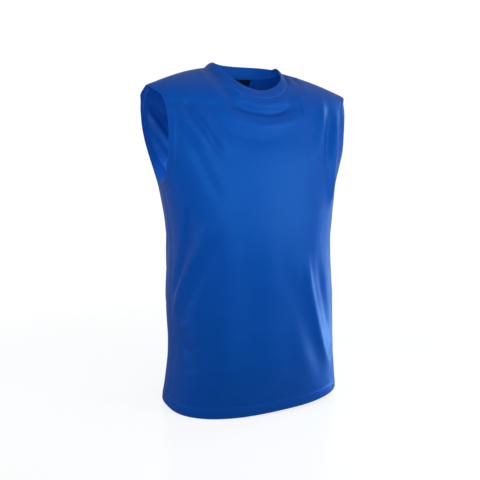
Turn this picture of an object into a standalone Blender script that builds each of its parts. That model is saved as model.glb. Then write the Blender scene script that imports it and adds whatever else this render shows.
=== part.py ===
"""Sleeveless t-shirt in its worn form, with no wearer inside.

Two body panels, a neckband, two armhole bands and a small blank neck label, each one closed wall of cloth.
Metres, +Z up. The front faces -Y and the wearer's right side is at -X. The origin lies on the middle plane at the
height where the wearer's shoulders carry the garment, just under the ends of the shoulder seams at the neckband.
"""

from collections import namedtuple

import bmesh
import bpy
import numpy as np

# Driving dimensions, in metres
BODY_LENGTH = 0.700  # from the shoulders straight down to the hem
SINGLE_CLOTH = 0.0016  # wall of one layer
DOUBLE_CLOTH = 0.0024  # wall where the cloth is folded double: hem and bands
LABEL_THICKNESS = 0.0010
SEAM_GAP = 0.0003  # kept between pieces that are sewn together
HEM_DEPTH = 0.024
HEM_STEP = 0.003  # height over which the doubled hem thins to one layer
NECK_HALF_WIDTH = 0.0905
NECK_RISE = 0.0039  # height of the neck points, where the shoulder seams meet the neckband
NECK_RISE_RUN = 0.30  # how soon that rise dies away, as a share of the shoulder seam
FRONT_NECK_DROP = 0.0615
BACK_NECK_DROP = 0.0040
NECKBAND_WIDTH = 0.0228
NECKBAND_SIDE_WIDTH = 0.0198  # it curls over beside the shoulder seams
NECKBAND_CROWN = 0.0008  # how far the middle of the neckband stands proud of its edges
NECK_CENTRE_Y = -0.0264  # the neckband leans towards this line
SHOULDER_HALF_WIDTH = 0.2375
SHOULDER_DROP = 0.0456
UNDERARM_DEPTH = 0.2340  # from the neck level down to the bottom of the armhole
ARMHOLE_BAND_WIDTH = 0.013
ARMHOLE_TURN = 0.169  # height over which the armhole curves from its bottom to its side
ROW_SAG = 0.070  # how far the rows of points that start under the armhole sink towards the centre line
HEM_DIP_FRONT = 0.0064  # how far the hem hangs below level in front
HEM_DIP_RIGHT = 0.0080  # and on the wearer's right
GIRTH_RADIUS = 0.165  # turns an angle round the body into a length along the cloth

# Angles, in degrees
ARMHOLE_CUT_FRONT = 37.9  # how far the armhole reaches in from the side line at mid height
ARMHOLE_CUT_BACK = 27.1
ARMHOLE_CUT_TIP = 33.0
NECKBAND_LEAN_SIDE = 50.0  # away from upright, towards the neck
NECKBAND_LEAN_FRONT = 43.0
NECKBAND_LEAN_BACK = 8.9

# Curvature: exponents of the curves that the sections, shoulders and necklines follow
BODY_SQUARENESS = 2.48
SHOULDER_SQUARENESS = 2.47
SHOULDER_BOW = -0.37  # below zero the shoulder line bows up between the neck and the tip
FRONT_NECK_SQUARENESS = 1.9
BACK_NECK_SQUARENESS = 3.1

# How each side rolls over into the shoulder seam: over what height and how squarely
Roll = namedtuple("Roll", "height squareness")
FRONT_ROLL = Roll(0.069, 2.75)
BACK_ROLL = Roll(0.087, 1.70)

# Level sections of the worn body: where the side seam runs and how far front and back stand off from it
Section = namedtuple("Section", "level half_width seam_y front back")
SECTIONS = (
    Section(-0.700, 0.1985, -0.0616, 0.1299, 0.1256),
    Section(-0.600, 0.1853, -0.0598, 0.1398, 0.1216),
    Section(-0.480, 0.1865, -0.0473, 0.1437, 0.1195),
    Section(-0.360, 0.1823, -0.0424, 0.1395, 0.1170),
    Section(-0.245, 0.2003, -0.0387, 0.1243, 0.1175),
    Section(-0.150, 0.2322, -0.0400, 0.1006, 0.1211),
    Section(-0.050, 0.2602, -0.0419, 0.0517, 0.1256),
    Section(0.020, 0.2866, 0.0111, 0.0227, 0.1041),
)

# The largest folds. Each runs from one place on the body to another: degrees round from the centre front, positive
# towards the wearer's left, and the level in metres. bend bows its line sideways, half_width is that of its crest,
# height is how far it stands proud or, below zero, sinks in, and lean makes one flank wider than the other.
Fold = namedtuple("Fold", "around level to_around to_level bend half_width height lean")
FOLDS = (
    # front, from the shoulders and neck across the chest
    Fold(-28, -0.058, 20, -0.078, -0.022, 0.014, -0.0040, 0.0),
    Fold(-41, -0.050, -25, -0.220, 0.004, 0.013, -0.0045, 0.2),
    Fold(-50, -0.085, -33, -0.180, 0.004, 0.019, 0.0050, 0.0),
    Fold(-36, -0.070, -19, -0.185, 0.000, 0.013, 0.0030, 0.0),
    Fold(34, -0.060, 28, -0.200, 0.000, 0.012, 0.0040, 0.0),
    Fold(38, -0.060, 36, -0.220, 0.000, 0.011, -0.0035, 0.0),
    Fold(43, -0.070, 50, -0.320, -0.004, 0.013, 0.0050, 0.0),
    # front, waist and skirt
    Fold(-34, -0.262, -84, -0.522, 0.002, 0.018, 0.0046, 0.2),
    Fold(-52, -0.262, -84, -0.488, 0.000, 0.013, -0.0040, 0.0),
    Fold(-32, -0.250, -42, -0.690, 0.004, 0.024, 0.0060, 0.0),
    Fold(-18, -0.330, -22, -0.690, 0.000, 0.026, -0.0040, 0.0),
    Fold(0, -0.370, 40, -0.700, 0.000, 0.022, -0.0030, 0.0),
    Fold(20, -0.350, 50, -0.665, -0.021, 0.014, 0.0036, -0.3),
    Fold(31, -0.360, 57, -0.640, -0.017, 0.012, -0.0036, 0.0),
    Fold(-76, -0.540, -54, -0.610, 0.002, 0.013, -0.0040, 0.0),
    # back, from the armholes inwards
    Fold(-124, -0.070, -150, -0.190, 0.000, 0.012, -0.0060, 0.0),
    Fold(-124, -0.110, -147, -0.280, 0.004, 0.014, 0.0075, 0.2),
    Fold(127, -0.090, 153, -0.240, 0.000, 0.014, 0.0060, 0.2),
    Fold(124, -0.130, 143, -0.290, 0.000, 0.013, -0.0050, 0.0),
    Fold(-160, -0.060, 160, -0.070, -0.016, 0.016, -0.0035, 0.0),
    # back, waist and skirt
    Fold(-142, -0.330, -128, -0.690, 0.006, 0.022, 0.0065, 0.0),
    Fold(-160, -0.380, -152, -0.690, 0.000, 0.022, -0.0055, 0.0),
    Fold(174, -0.300, 168, -0.660, 0.008, 0.026, 0.0060, 0.2),
    Fold(148, -0.340, 128, -0.680, -0.004, 0.020, -0.0065, 0.0),
    Fold(136, -0.330, 108, -0.600, 0.000, 0.018, 0.0055, 0.0),
)
FOLD_FADE = 0.030  # folds die away over this height below the shoulder seam
FOLD_TAPER = 0.35  # and over this share of their length at each end

# How finely each piece is divided
HEM_TO_UNDERARM_STEPS = 20
ARMHOLE_STEPS = 15
SHOULDER_COLUMNS = 8
NECK_COLUMNS = 16
BAND_STEPS = 2
NECKBAND_STEPS = 3
LABEL_ROWS = slice(-4, -1)  # the rows of the back panel that the label lies under, just below the neckband
LABEL_COLUMNS = slice(-1, 4)  # and its columns, counted from the centre back

FRONT, BACK = False, True
HEM_LEVEL = -BODY_LENGTH
UNDERARM_LEVEL = -UNDERARM_DEPTH
BAND_CUT = np.degrees(ARMHOLE_BAND_WIDTH / GIRTH_RADIUS)
BLUE = (0.020, 0.105, 0.420, 1.0)
NAVY = (0.004, 0.006, 0.022, 1.0)

# Surface finishes: roughness and sheen
Finish = namedtuple("Finish", "colour roughness sheen")
BODY_FINISH = Finish(BLUE, 0.70, 0.3)
BAND_FINISH = Finish(BLUE, 0.75, 0.2)
LABEL_FINISH = Finish(NAVY, 0.60, 0.0)

# Numbers for the working, not for the shape
SLOPE_STEP = 1e-4  # metres or radians over which slopes are taken
SETTLE_ROUNDS = 60  # rounds in which a point that depends on its own place settles
SAMPLES = np.linspace(0, 1, 1001)  # places at which the neck point is looked for along a top edge
EVEN_NECK_SHARE = 0.35  # how much of the neck columns' spacing is even: the rest crowds towards the shoulders
SHARP_EDGE = np.radians(50)  # edges that turn more than this are shaded sharp


def smooth(t):
    """0 below 0, 1 above 1, and an even ramp between."""
    t = np.clip(t, 0, 1)
    return t * t * (3 - 2 * t)


def unit(vectors):
    return vectors / np.linalg.norm(vectors, axis=-1, keepdims=True)


def section(level, column):
    """A column of SECTIONS at any level, on a smooth curve through its rows."""
    levels = np.array([row.level for row in SECTIONS])
    values = np.array([getattr(row, column) for row in SECTIONS])
    slopes = np.gradient(values, levels)
    level = np.clip(level, levels[0], levels[-1])
    row = np.clip(np.searchsorted(levels, level) - 1, 0, len(levels) - 2)
    height = levels[row + 1] - levels[row]
    t = (level - levels[row]) / height
    return (
        (1 + 2 * t) * (1 - t) ** 2 * values[row]
        + t * (1 - t) ** 2 * height * slopes[row]
        + t * t * (3 - 2 * t) * values[row + 1]
        + t * t * (t - 1) * height * slopes[row + 1]
    )


def shoulder_level(x):
    """Height of the shoulder seam, which runs on at its own slope above the neck opening."""
    t = (np.abs(x) - NECK_HALF_WIDTH) / (SHOULDER_HALF_WIDTH - NECK_HALF_WIDTH)
    over = np.clip(t, 0, 1)
    bow = SHOULDER_BOW * (1 - (1 - over) ** 3 - over)
    above_neck = (1 + 2 * SHOULDER_BOW) * np.minimum(t, 0)
    rise = NECK_RISE * (np.exp(-np.maximum(t, 0) / NECK_RISE_RUN) - np.minimum(t, 0) / (2 * NECK_RISE_RUN))
    return rise - SHOULDER_DROP * (np.maximum(t, 0) + bow + above_neck)


def neck_level(x, back):
    """Height of the neckline seam."""
    drop = BACK_NECK_DROP if back else FRONT_NECK_DROP
    power = BACK_NECK_SQUARENESS if back else FRONT_NECK_SQUARENESS
    across = np.clip(np.abs(x) / NECK_HALF_WIDTH, 0, 1)
    return NECK_RISE - (drop + NECK_RISE) * (1 - across**power) ** (1 / power)


def half_width_at(angle, level):
    """(x of the cloth at an angle from the front or back centre line, its reach beyond a round section)."""
    above_underarm = np.clip(1 + level / UNDERARM_DEPTH, 0, 1)
    power = BODY_SQUARENESS + (SHOULDER_SQUARENESS - BODY_SQUARENESS) * above_underarm
    reach = (np.abs(np.cos(angle)) ** power + np.abs(np.sin(angle)) ** power) ** (-1 / power)
    return section(level, "half_width") * reach * np.sin(angle), reach


def body_points(angle, level, back):
    """Points of the worn body with no folds, by angle from the centre line of that side, and level."""
    x, reach = half_width_at(angle, level)
    roll = BACK_ROLL if back else FRONT_ROLL
    below_seam = np.clip((shoulder_level(x) - level) / roll.height, 0, 1)
    rolled = (1 - (1 - below_seam) ** roll.squareness) ** (1 / roll.squareness)
    stand_off = section(level, "back" if back else "front") * reach * np.cos(angle) * rolled
    side = 1 if back else -1
    y = section(level, "seam_y") + side * stand_off
    low = np.clip((UNDERARM_LEVEL - level) / (UNDERARM_LEVEL - HEM_LEVEL), 0, 1) ** 2
    dip = HEM_DIP_FRONT * -side * stand_off / SECTIONS[0].front + HEM_DIP_RIGHT * -x / SECTIONS[0].half_width
    return np.stack([x, y, level - low * dip], axis=-1)


def outward(angle, level, back):
    """Unit normals of body_points, pointing away from the body."""
    step = SLOPE_STEP
    round_body = body_points(angle + step, level, back) - body_points(angle - step, level, back)
    up_body = body_points(angle, level + step, back) - body_points(angle, level - step, back)
    normals = unit(np.cross(up_body, round_body) if back else np.cross(round_body, up_body))
    x = half_width_at(angle, level)[0]
    along = (shoulder_level(x + step) - shoulder_level(x - step)) / (2 * step)
    on_seam = shoulder_level(x) - level < 10 * step
    seam_normals = unit(np.stack([-along, np.zeros_like(x), np.ones_like(x)], axis=-1))
    return np.where(on_seam[..., None], seam_normals, normals)


def fold_relief(angle, level, back):
    """How far the folds lift the cloth."""
    around = np.where(angle < 0, -np.pi - angle, np.pi - angle) if back else angle
    girth = 2 * np.pi * GIRTH_RADIUS
    relief = np.zeros(np.broadcast(angle, level).shape)
    for fold in FOLDS:
        start = np.radians(fold.around) * GIRTH_RADIUS
        run = np.radians(fold.to_around - fold.around) * GIRTH_RADIUS
        rise = fold.to_level - fold.level
        length = np.hypot(run, rise)
        across = (around * GIRTH_RADIUS - start + girth / 2) % girth - girth / 2
        height = level - fold.level
        along = np.clip((across * run + height * rise) / length**2, 0, 1)
        offset = (height * run - across * rise) / length - fold.bend * 4 * along * (1 - along)
        width = fold.half_width * (1 + fold.lean * np.tanh(offset / fold.half_width))
        crest = (1 - 0.5 * (offset / width) ** 2) * np.exp(-((offset / width) ** 2))
        ends = smooth(along / FOLD_TAPER) * smooth((1 - along) / FOLD_TAPER)
        relief += fold.height * crest * ends
    x = half_width_at(angle, level)[0]
    return relief * smooth((shoulder_level(x) - level) / FOLD_FADE)


def cloth_points(angle, level, back):
    """(outer points, unit normals) of the worn cloth with its folds."""
    normals = outward(angle, level, back)
    return body_points(angle, level, back) + normals * fold_relief(angle, level, back)[..., None], normals


def armhole_edge(share, back, cut_more, lower):
    """(angle, level) up one armhole from its bottom, at 0, to the shoulder seam, at 1."""
    bottom = UNDERARM_LEVEL - lower
    tip = SHOULDER_HALF_WIDTH
    middle = (ARMHOLE_CUT_BACK if back else ARMHOLE_CUT_FRONT) + cut_more
    top = ARMHOLE_CUT_TIP + cut_more
    for _ in range(SETTLE_ROUNDS):
        tip = half_width_at(np.radians(90 - top), shoulder_level(tip))[0]
    height = share * (shoulder_level(tip) - bottom)
    turned = np.sqrt(1 - (1 - np.clip(height / ARMHOLE_TURN, 0, 1)) ** 2)
    past = smooth((height - ARMHOLE_TURN) / (shoulder_level(tip) - bottom - ARMHOLE_TURN))
    cut = middle * turned * (1 - past) + top * past
    return np.radians(90 - cut), bottom + height


def top_edge(across, neck_share, widest, back):
    """Levels along a panel's top: shoulder seam, neckline, shoulder seam. across runs from -1 to 1."""
    on_neck = np.abs(across) <= neck_share + 1e-9
    angle = across * widest
    x = SHOULDER_HALF_WIDTH * across
    for _ in range(SETTLE_ROUNDS):
        level = np.where(on_neck, neck_level(x, back), shoulder_level(x))
        x = (x + half_width_at(angle, level)[0]) / 2
        inside = np.clip(x, -NECK_HALF_WIDTH, NECK_HALF_WIDTH)
        outside = np.sign(across) * np.maximum(np.abs(x), NECK_HALF_WIDTH)
        x = np.where(on_neck, inside, outside)
    return np.where(on_neck, neck_level(x, back), shoulder_level(x))


def rise_shares():
    """Heights up the armhole, closer together at both ends."""
    return (1 - np.cos(np.pi * np.linspace(0, 1, ARMHOLE_STEPS + 1))) / 2


def panel_grid(back):
    """(angle, level) of a panel's points: a row for each height, from the hem to the shoulders and neckline."""
    edge_angle, edge_level = armhole_edge(rise_shares(), back, BAND_CUT, ARMHOLE_BAND_WIDTH)
    widest = edge_angle[-1]
    neck_share = np.interp(NECK_HALF_WIDTH, half_width_at(SAMPLES * widest, 0 * SAMPLES)[0], SAMPLES)
    shoulder = np.linspace(neck_share, 1, SHOULDER_COLUMNS + 1)
    t = np.linspace(0, 1, NECK_COLUMNS + 1)
    neck = neck_share * (EVEN_NECK_SHARE * (2 * t - 1) - (1 - EVEN_NECK_SHARE) * np.cos(np.pi * t))
    across = np.concatenate([-shoulder[:0:-1], neck, shoulder[1:]])
    top = top_edge(across, neck_share, widest, back)
    above_hem = HEM_LEVEL + HEM_DEPTH + HEM_STEP
    body = np.linspace(above_hem, edge_level[0], HEM_TO_UNDERARM_STEPS + 1)[:-1]
    low = np.concatenate([[HEM_LEVEL, HEM_LEVEL + HEM_DEPTH], body])
    sag = ROW_SAG * (1 - across**2)
    angles = [across * np.pi / 2 for _ in low] + [across * widest_here for widest_here in edge_angle]
    levels = [level - sag * smooth((level - above_hem) / (edge_level[0] - above_hem)) for level in low]
    levels += [edge_level[0] + (top - edge_level[0]) * share - sag * (1 - share) for share in rise_shares()]
    return np.array(angles), np.array(levels)


def panel_walls(back):
    """(outer, inner, normals) grids of a body panel, half a seam gap away from the other panel."""
    angle, level = panel_grid(back)
    outer, normals = cloth_points(angle, level, back)
    outer[..., 1] += SEAM_GAP / 2 if back else -SEAM_GAP / 2
    doubled = 1 - np.clip((level - HEM_LEVEL - HEM_DEPTH) / HEM_STEP, 0, 1)
    wall = SINGLE_CLOTH + (DOUBLE_CLOTH - SINGLE_CLOTH) * doubled
    return outer, outer - normals * wall[..., None], normals


def round_neck(front, back):
    """Joins the middle of both panels' top rows into one loop, from the right neck point round the front."""
    columns = slice(SHOULDER_COLUMNS, SHOULDER_COLUMNS + NECK_COLUMNS + 1)
    loop = np.concatenate([front[-1, columns], back[-1, columns][-2:0:-1]])
    loop[0] = (front[-1, columns][0] + back[-1, columns][0]) / 2
    loop[NECK_COLUMNS] = (front[-1, columns][-1] + back[-1, columns][-1]) / 2
    return loop


def neckband_walls(panels):
    """(outer, inner) grids of the neckband, a loop that rises from the panels' neckline and leans inwards."""
    seam = round_neck(panels[FRONT][0], panels[BACK][0])
    seam_normals = unit(round_neck(panels[FRONT][2], panels[BACK][2]))
    inward = np.stack([-seam[:, 0], NECK_CENTRE_Y - seam[:, 1], np.zeros(len(seam))], axis=-1)
    middle = np.sqrt(1 - np.clip(np.abs(seam[:, 0]) / NECK_HALF_WIDTH, 0, 1) ** 2)
    is_back = np.arange(len(seam)) > NECK_COLUMNS
    centre_lean = np.where(is_back, NECKBAND_LEAN_BACK, NECKBAND_LEAN_FRONT)
    lean = np.radians(NECKBAND_LEAN_SIDE + (centre_lean - NECKBAND_LEAN_SIDE) * middle)[:, None]
    rise = np.cos(lean) * np.array([0.0, 0.0, 1.0]) + np.sin(lean) * unit(inward)
    width = (NECKBAND_SIDE_WIDTH + (NECKBAND_WIDTH - NECKBAND_SIDE_WIDTH) * middle)[:, None]
    along = unit(np.roll(seam, -1, axis=0) - np.roll(seam, 1, axis=0))
    off_panel = unit(np.cross(seam_normals, along))
    off_panel *= np.sign(np.sum(off_panel * rise, axis=-1, keepdims=True))
    face = unit(np.cross(along, rise))
    face *= np.sign(np.sum(face * seam_normals, axis=-1, keepdims=True))
    outer = [seam + off_panel * SEAM_GAP]
    inner = [outer[0] - seam_normals * DOUBLE_CLOTH]
    for step in range(1, NECKBAND_STEPS + 1):
        share = step / NECKBAND_STEPS
        crown = NECKBAND_CROWN * np.sin(np.pi * share)
        outer.append(outer[0] + rise * width * share + face * crown)
        inner.append(outer[-1] - face * DOUBLE_CLOTH)
    return np.array(outer), np.array(inner)


def armhole_band_walls(side):
    """(outer, inner) grids of an armhole band, a loop between the panels' edge and the opening."""
    shares = rise_shares()
    first = SEAM_GAP / ARMHOLE_BAND_WIDTH
    outer, inner = [], []
    for across in np.linspace(first, 1, BAND_STEPS + 1):
        halves = {}
        for back in (FRONT, BACK):
            seam_angle, seam_level = armhole_edge(shares, back, BAND_CUT, ARMHOLE_BAND_WIDTH)
            open_angle, open_level = armhole_edge(shares, back, 0, 0)
            angle = side * (seam_angle + (open_angle - seam_angle) * across)
            level = seam_level + (open_level - seam_level) * across
            points, normals = cloth_points(angle, level, back)
            points[1:-1, 1] += SEAM_GAP / 2 if back else -SEAM_GAP / 2
            halves[back] = np.stack([points, points - normals * DOUBLE_CLOTH])
        loop = np.concatenate([halves[FRONT], halves[BACK][:, -2:0:-1]], axis=1)
        outer.append(loop[0])
        inner.append(loop[1])
    return np.array(outer), np.array(inner)


def label_walls(panels):
    """(outer, inner) grids of the label, which lies inside the back panel, just under the neckband."""
    middle = SHOULDER_COLUMNS + NECK_COLUMNS // 2
    columns = slice(middle + LABEL_COLUMNS.start, middle + LABEL_COLUMNS.stop)
    cloth, normals = (grid[LABEL_ROWS, columns] for grid in panels[BACK][1:])
    outer = cloth - normals * SEAM_GAP
    return outer, outer - normals * LABEL_THICKNESS


def add_material(name, finish):
    material = bpy.data.materials.new(name)
    material.use_nodes = True
    shader = material.node_tree.nodes["Principled BSDF"]
    shader.inputs["Base Color"].default_value = finish.colour
    shader.inputs["Roughness"].default_value = finish.roughness
    shader.inputs["Metallic"].default_value = 0.0
    shader.inputs["Sheen Weight"].default_value = finish.sheen
    return material


def add_wall(name, walls, material, holder, loop=False):
    """One closed wall between an outer and an inner grid of points. In a loop the last column meets the first."""
    bm = bmesh.new()
    outer, inner = [[[bm.verts.new(point) for point in row] for row in skin] for skin in walls]
    rows, columns = len(outer), len(outer[0])

    def strip(a, b, c, d):
        """Two triangles with the same diagonal on both skins, so that the wall keeps its thickness."""
        bm.faces.new((a, b, c))
        bm.faces.new((a, c, d))

    for right in range(0 if loop else 1, columns):
        left = right - 1
        for row in range(rows - 1):
            for skin in (outer, inner):
                strip(skin[row][left], skin[row][right], skin[row + 1][right], skin[row + 1][left])
        for row in (0, rows - 1):
            strip(outer[row][left], outer[row][right], inner[row][right], inner[row][left])
    if not loop:
        for column in (0, columns - 1):
            for row in range(rows - 1):
                strip(outer[row][column], outer[row + 1][column], inner[row + 1][column], inner[row][column])
    bmesh.ops.recalc_face_normals(bm, faces=bm.faces)
    mesh = bpy.data.meshes.new(name)
    bm.to_mesh(mesh)
    bm.free()
    mesh.shade_smooth()
    mesh.set_sharp_from_angle(angle=SHARP_EDGE)
    mesh.materials.append(material)
    piece = bpy.data.objects.new(name, mesh)
    bpy.context.scene.collection.objects.link(piece)
    piece.parent = holder
    return piece


def clear_scene():
    for old in list(bpy.data.objects):
        bpy.data.objects.remove(old)


def main():
    clear_scene()
    shoulders = bpy.data.objects.new("shoulders", None)
    bpy.context.scene.collection.objects.link(shoulders)
    panels = {back: panel_walls(back) for back in (FRONT, BACK)}
    add_wall("front_panel", panels[FRONT][:2], add_material("front_cloth", BODY_FINISH), shoulders)
    add_wall("back_panel", panels[BACK][:2], add_material("back_cloth", BODY_FINISH), shoulders)
    neckband = add_material("neckband_cloth", BAND_FINISH)
    add_wall("neckband", neckband_walls(panels), neckband, shoulders, loop=True)
    for name, side in (("right", -1), ("left", 1)):
        material = add_material(f"{name}_armhole_cloth", BAND_FINISH)
        add_wall(f"armhole_band_{name}", armhole_band_walls(side), material, shoulders, loop=True)
    add_wall("neck_label", label_walls(panels), add_material("label_cloth", LABEL_FINISH), shoulders)


main()
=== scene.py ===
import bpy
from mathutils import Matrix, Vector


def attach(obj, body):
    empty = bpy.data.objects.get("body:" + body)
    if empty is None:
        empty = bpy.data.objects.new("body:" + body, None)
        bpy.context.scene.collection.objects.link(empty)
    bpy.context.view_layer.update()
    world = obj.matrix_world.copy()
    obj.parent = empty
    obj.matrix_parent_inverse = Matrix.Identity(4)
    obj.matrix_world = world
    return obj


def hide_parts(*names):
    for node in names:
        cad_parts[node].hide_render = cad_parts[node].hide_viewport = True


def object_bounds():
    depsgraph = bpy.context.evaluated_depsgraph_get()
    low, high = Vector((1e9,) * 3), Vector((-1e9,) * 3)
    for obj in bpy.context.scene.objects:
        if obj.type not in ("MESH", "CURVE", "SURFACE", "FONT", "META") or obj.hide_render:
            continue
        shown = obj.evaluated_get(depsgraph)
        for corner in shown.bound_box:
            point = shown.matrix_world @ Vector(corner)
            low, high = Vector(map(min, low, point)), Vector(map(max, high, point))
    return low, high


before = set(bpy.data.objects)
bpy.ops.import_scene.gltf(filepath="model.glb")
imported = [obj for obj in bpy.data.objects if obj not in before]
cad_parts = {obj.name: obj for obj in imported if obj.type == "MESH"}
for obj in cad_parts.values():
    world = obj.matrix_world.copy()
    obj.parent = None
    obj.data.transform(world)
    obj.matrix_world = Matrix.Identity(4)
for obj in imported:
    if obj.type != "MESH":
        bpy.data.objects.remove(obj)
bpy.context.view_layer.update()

from collections import namedtuple

import bpy
import numpy as np
from mathutils import Matrix, Vector
from mathutils.bvhtree import BVHTree
from mathutils.kdtree import KDTree

# ---------------- the CAD part's own shape, in metres and degrees
BODY_LENGTH = 0.700
SEAM_GAP = 0.0003
NECK_HALF_WIDTH = 0.0905
NECK_RISE = 0.0039
NECK_RISE_RUN = 0.30
FRONT_NECK_DROP = 0.0615
BACK_NECK_DROP = 0.0040
NECKBAND_WIDTH = 0.0228
NECKBAND_SIDE_WIDTH = 0.0198
NECKBAND_CROWN = 0.0008
NECK_CENTRE_Y = -0.0264
SHOULDER_HALF_WIDTH = 0.2375
SHOULDER_DROP = 0.0456
UNDERARM_DEPTH = 0.2340
ARMHOLE_BAND_WIDTH = 0.013
ARMHOLE_TURN = 0.169
ROW_SAG = 0.070
HEM_DIP_FRONT = 0.0064
HEM_DIP_RIGHT = 0.0080
GIRTH_RADIUS = 0.165
GIRTH = 2 * np.pi * GIRTH_RADIUS
ARMHOLE_CUT_FRONT = 37.9
ARMHOLE_CUT_BACK = 27.1
ARMHOLE_CUT_TIP = 33.0
NECKBAND_LEAN_SIDE = 50.0
NECKBAND_LEAN_FRONT = 43.0
NECKBAND_LEAN_BACK = 8.9
BODY_SQUARENESS = 2.48
SHOULDER_SQUARENESS = 2.47
SHOULDER_BOW = -0.37
FRONT_NECK_SQUARENESS = 1.9
BACK_NECK_SQUARENESS = 3.1
Roll = namedtuple("Roll", "height squareness")
FRONT_ROLL = Roll(0.069, 2.75)
BACK_ROLL = Roll(0.087, 1.70)
Section = namedtuple("Section", "level half_width seam_y front back")
SECTIONS = (
    Section(-0.700, 0.1985, -0.0616, 0.1299, 0.1256),
    Section(-0.600, 0.1853, -0.0598, 0.1398, 0.1216),
    Section(-0.480, 0.1865, -0.0473, 0.1437, 0.1195),
    Section(-0.360, 0.1823, -0.0424, 0.1395, 0.1170),
    Section(-0.245, 0.2003, -0.0387, 0.1243, 0.1175),
    Section(-0.150, 0.2322, -0.0400, 0.1006, 0.1211),
    Section(-0.050, 0.2602, -0.0419, 0.0517, 0.1256),
    Section(0.020, 0.2866, 0.0111, 0.0227, 0.1041),
)
Fold = namedtuple("Fold", "around level to_around to_level bend half_width height lean")


def folds_from(*rows):
    """Folds, from rows with the angles round from the centre front in degrees and the lengths in millimetres."""
    return [Fold(around, level / 1000, to_around, to_level / 1000, bend / 1000, half_width / 1000, height / 1000,
                 lean[0] if lean else 0.0)
            for around, level, to_around, to_level, bend, half_width, height, *lean in rows]


FOLDS = folds_from(
    # front, from the shoulders and neck across the chest
    (-28, -58, 20, -78, -22, 14, -4),
    (-41, -50, -25, -220, 4, 13, -4.5, 0.2),
    (-50, -85, -33, -180, 4, 19, 5),
    (-36, -70, -19, -185, 0, 13, 3),
    (34, -60, 28, -200, 0, 12, 4),
    (38, -60, 36, -220, 0, 11, -3.5),
    (43, -70, 50, -320, -4, 13, 5),
    # front, waist and skirt
    (-34, -262, -84, -522, 2, 18, 4.6, 0.2),
    (-52, -262, -84, -488, 0, 13, -4),
    (-32, -250, -42, -690, 4, 24, 6),
    (-18, -330, -22, -690, 0, 26, -4),
    (0, -370, 40, -700, 0, 22, -3),
    (20, -350, 50, -665, -21, 14, 3.6, -0.3),
    (31, -360, 57, -640, -17, 12, -3.6),
    (-76, -540, -54, -610, 2, 13, -4),
    # back, from the armholes inwards
    (-124, -70, -150, -190, 0, 12, -6),
    (-124, -110, -147, -280, 4, 14, 7.5, 0.2),
    (127, -90, 153, -240, 0, 14, 6, 0.2),
    (124, -130, 143, -290, 0, 13, -5),
    (-160, -60, 160, -70, -16, 16, -3.5),
    # back, waist and skirt
    (-142, -330, -128, -690, 6, 22, 6.5),
    (-160, -380, -152, -690, 0, 22, -5.5),
    (174, -300, 168, -660, 8, 26, 6, 0.2),
    (148, -340, 128, -680, -4, 20, -6.5),
    (136, -330, 108, -600, 0, 18, 5.5),
)
FOLD_FADE = 0.030
FOLD_TAPER = 0.35

# ---------------- what only the cloth has: finer folds and creases
FINE_FOLDS = folds_from(
    # beside the left armhole
    (56, -230, 60, -360, 0, 8, 1.6),
    # middle of the skirt
    (-8, -300, -4, -520, 3, 20, 1.2),
    (4, -460, 10, -660, 0, 20, -1.3),
    (74, -420, 86, -560, 0, 9, -1.4),
    # back, between the shoulder blades and from the armholes
    (-170, -50, 176, -110, 4, 8, 1.2),
    (-130, -60, -152, -120, 2, 6, 1.4),
    (-132, -170, -152, -240, 3, 7.5, -1.8),
    (-120, -220, -140, -330, 2, 8.5, 1.7),
    (131, -60, 148, -130, 2, 7, -1.4),
    (126, -190, 150, -300, 4, 9, 1.8),
    (118, -240, 132, -350, 2, 8, -1.4),
    (165, -120, 172, -260, 2, 14, 1.2),
    # back, waist and skirt
    (-100, -330, -124, -450, 3, 9, 1.8),
    (-96, -440, -122, -540, 2, 8, -1.4),
    (-176, -340, -172, -600, 4, 15, -1.4),
    (96, -360, 118, -480, 3, 9, 1.6),
    (100, -500, 124, -590, 2, 8, -1.2),
    (150, -540, 158, -690, 0, 12, 1.6),
    (-112, -600, -134, -640, 1, 7, 1.1),
)

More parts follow.
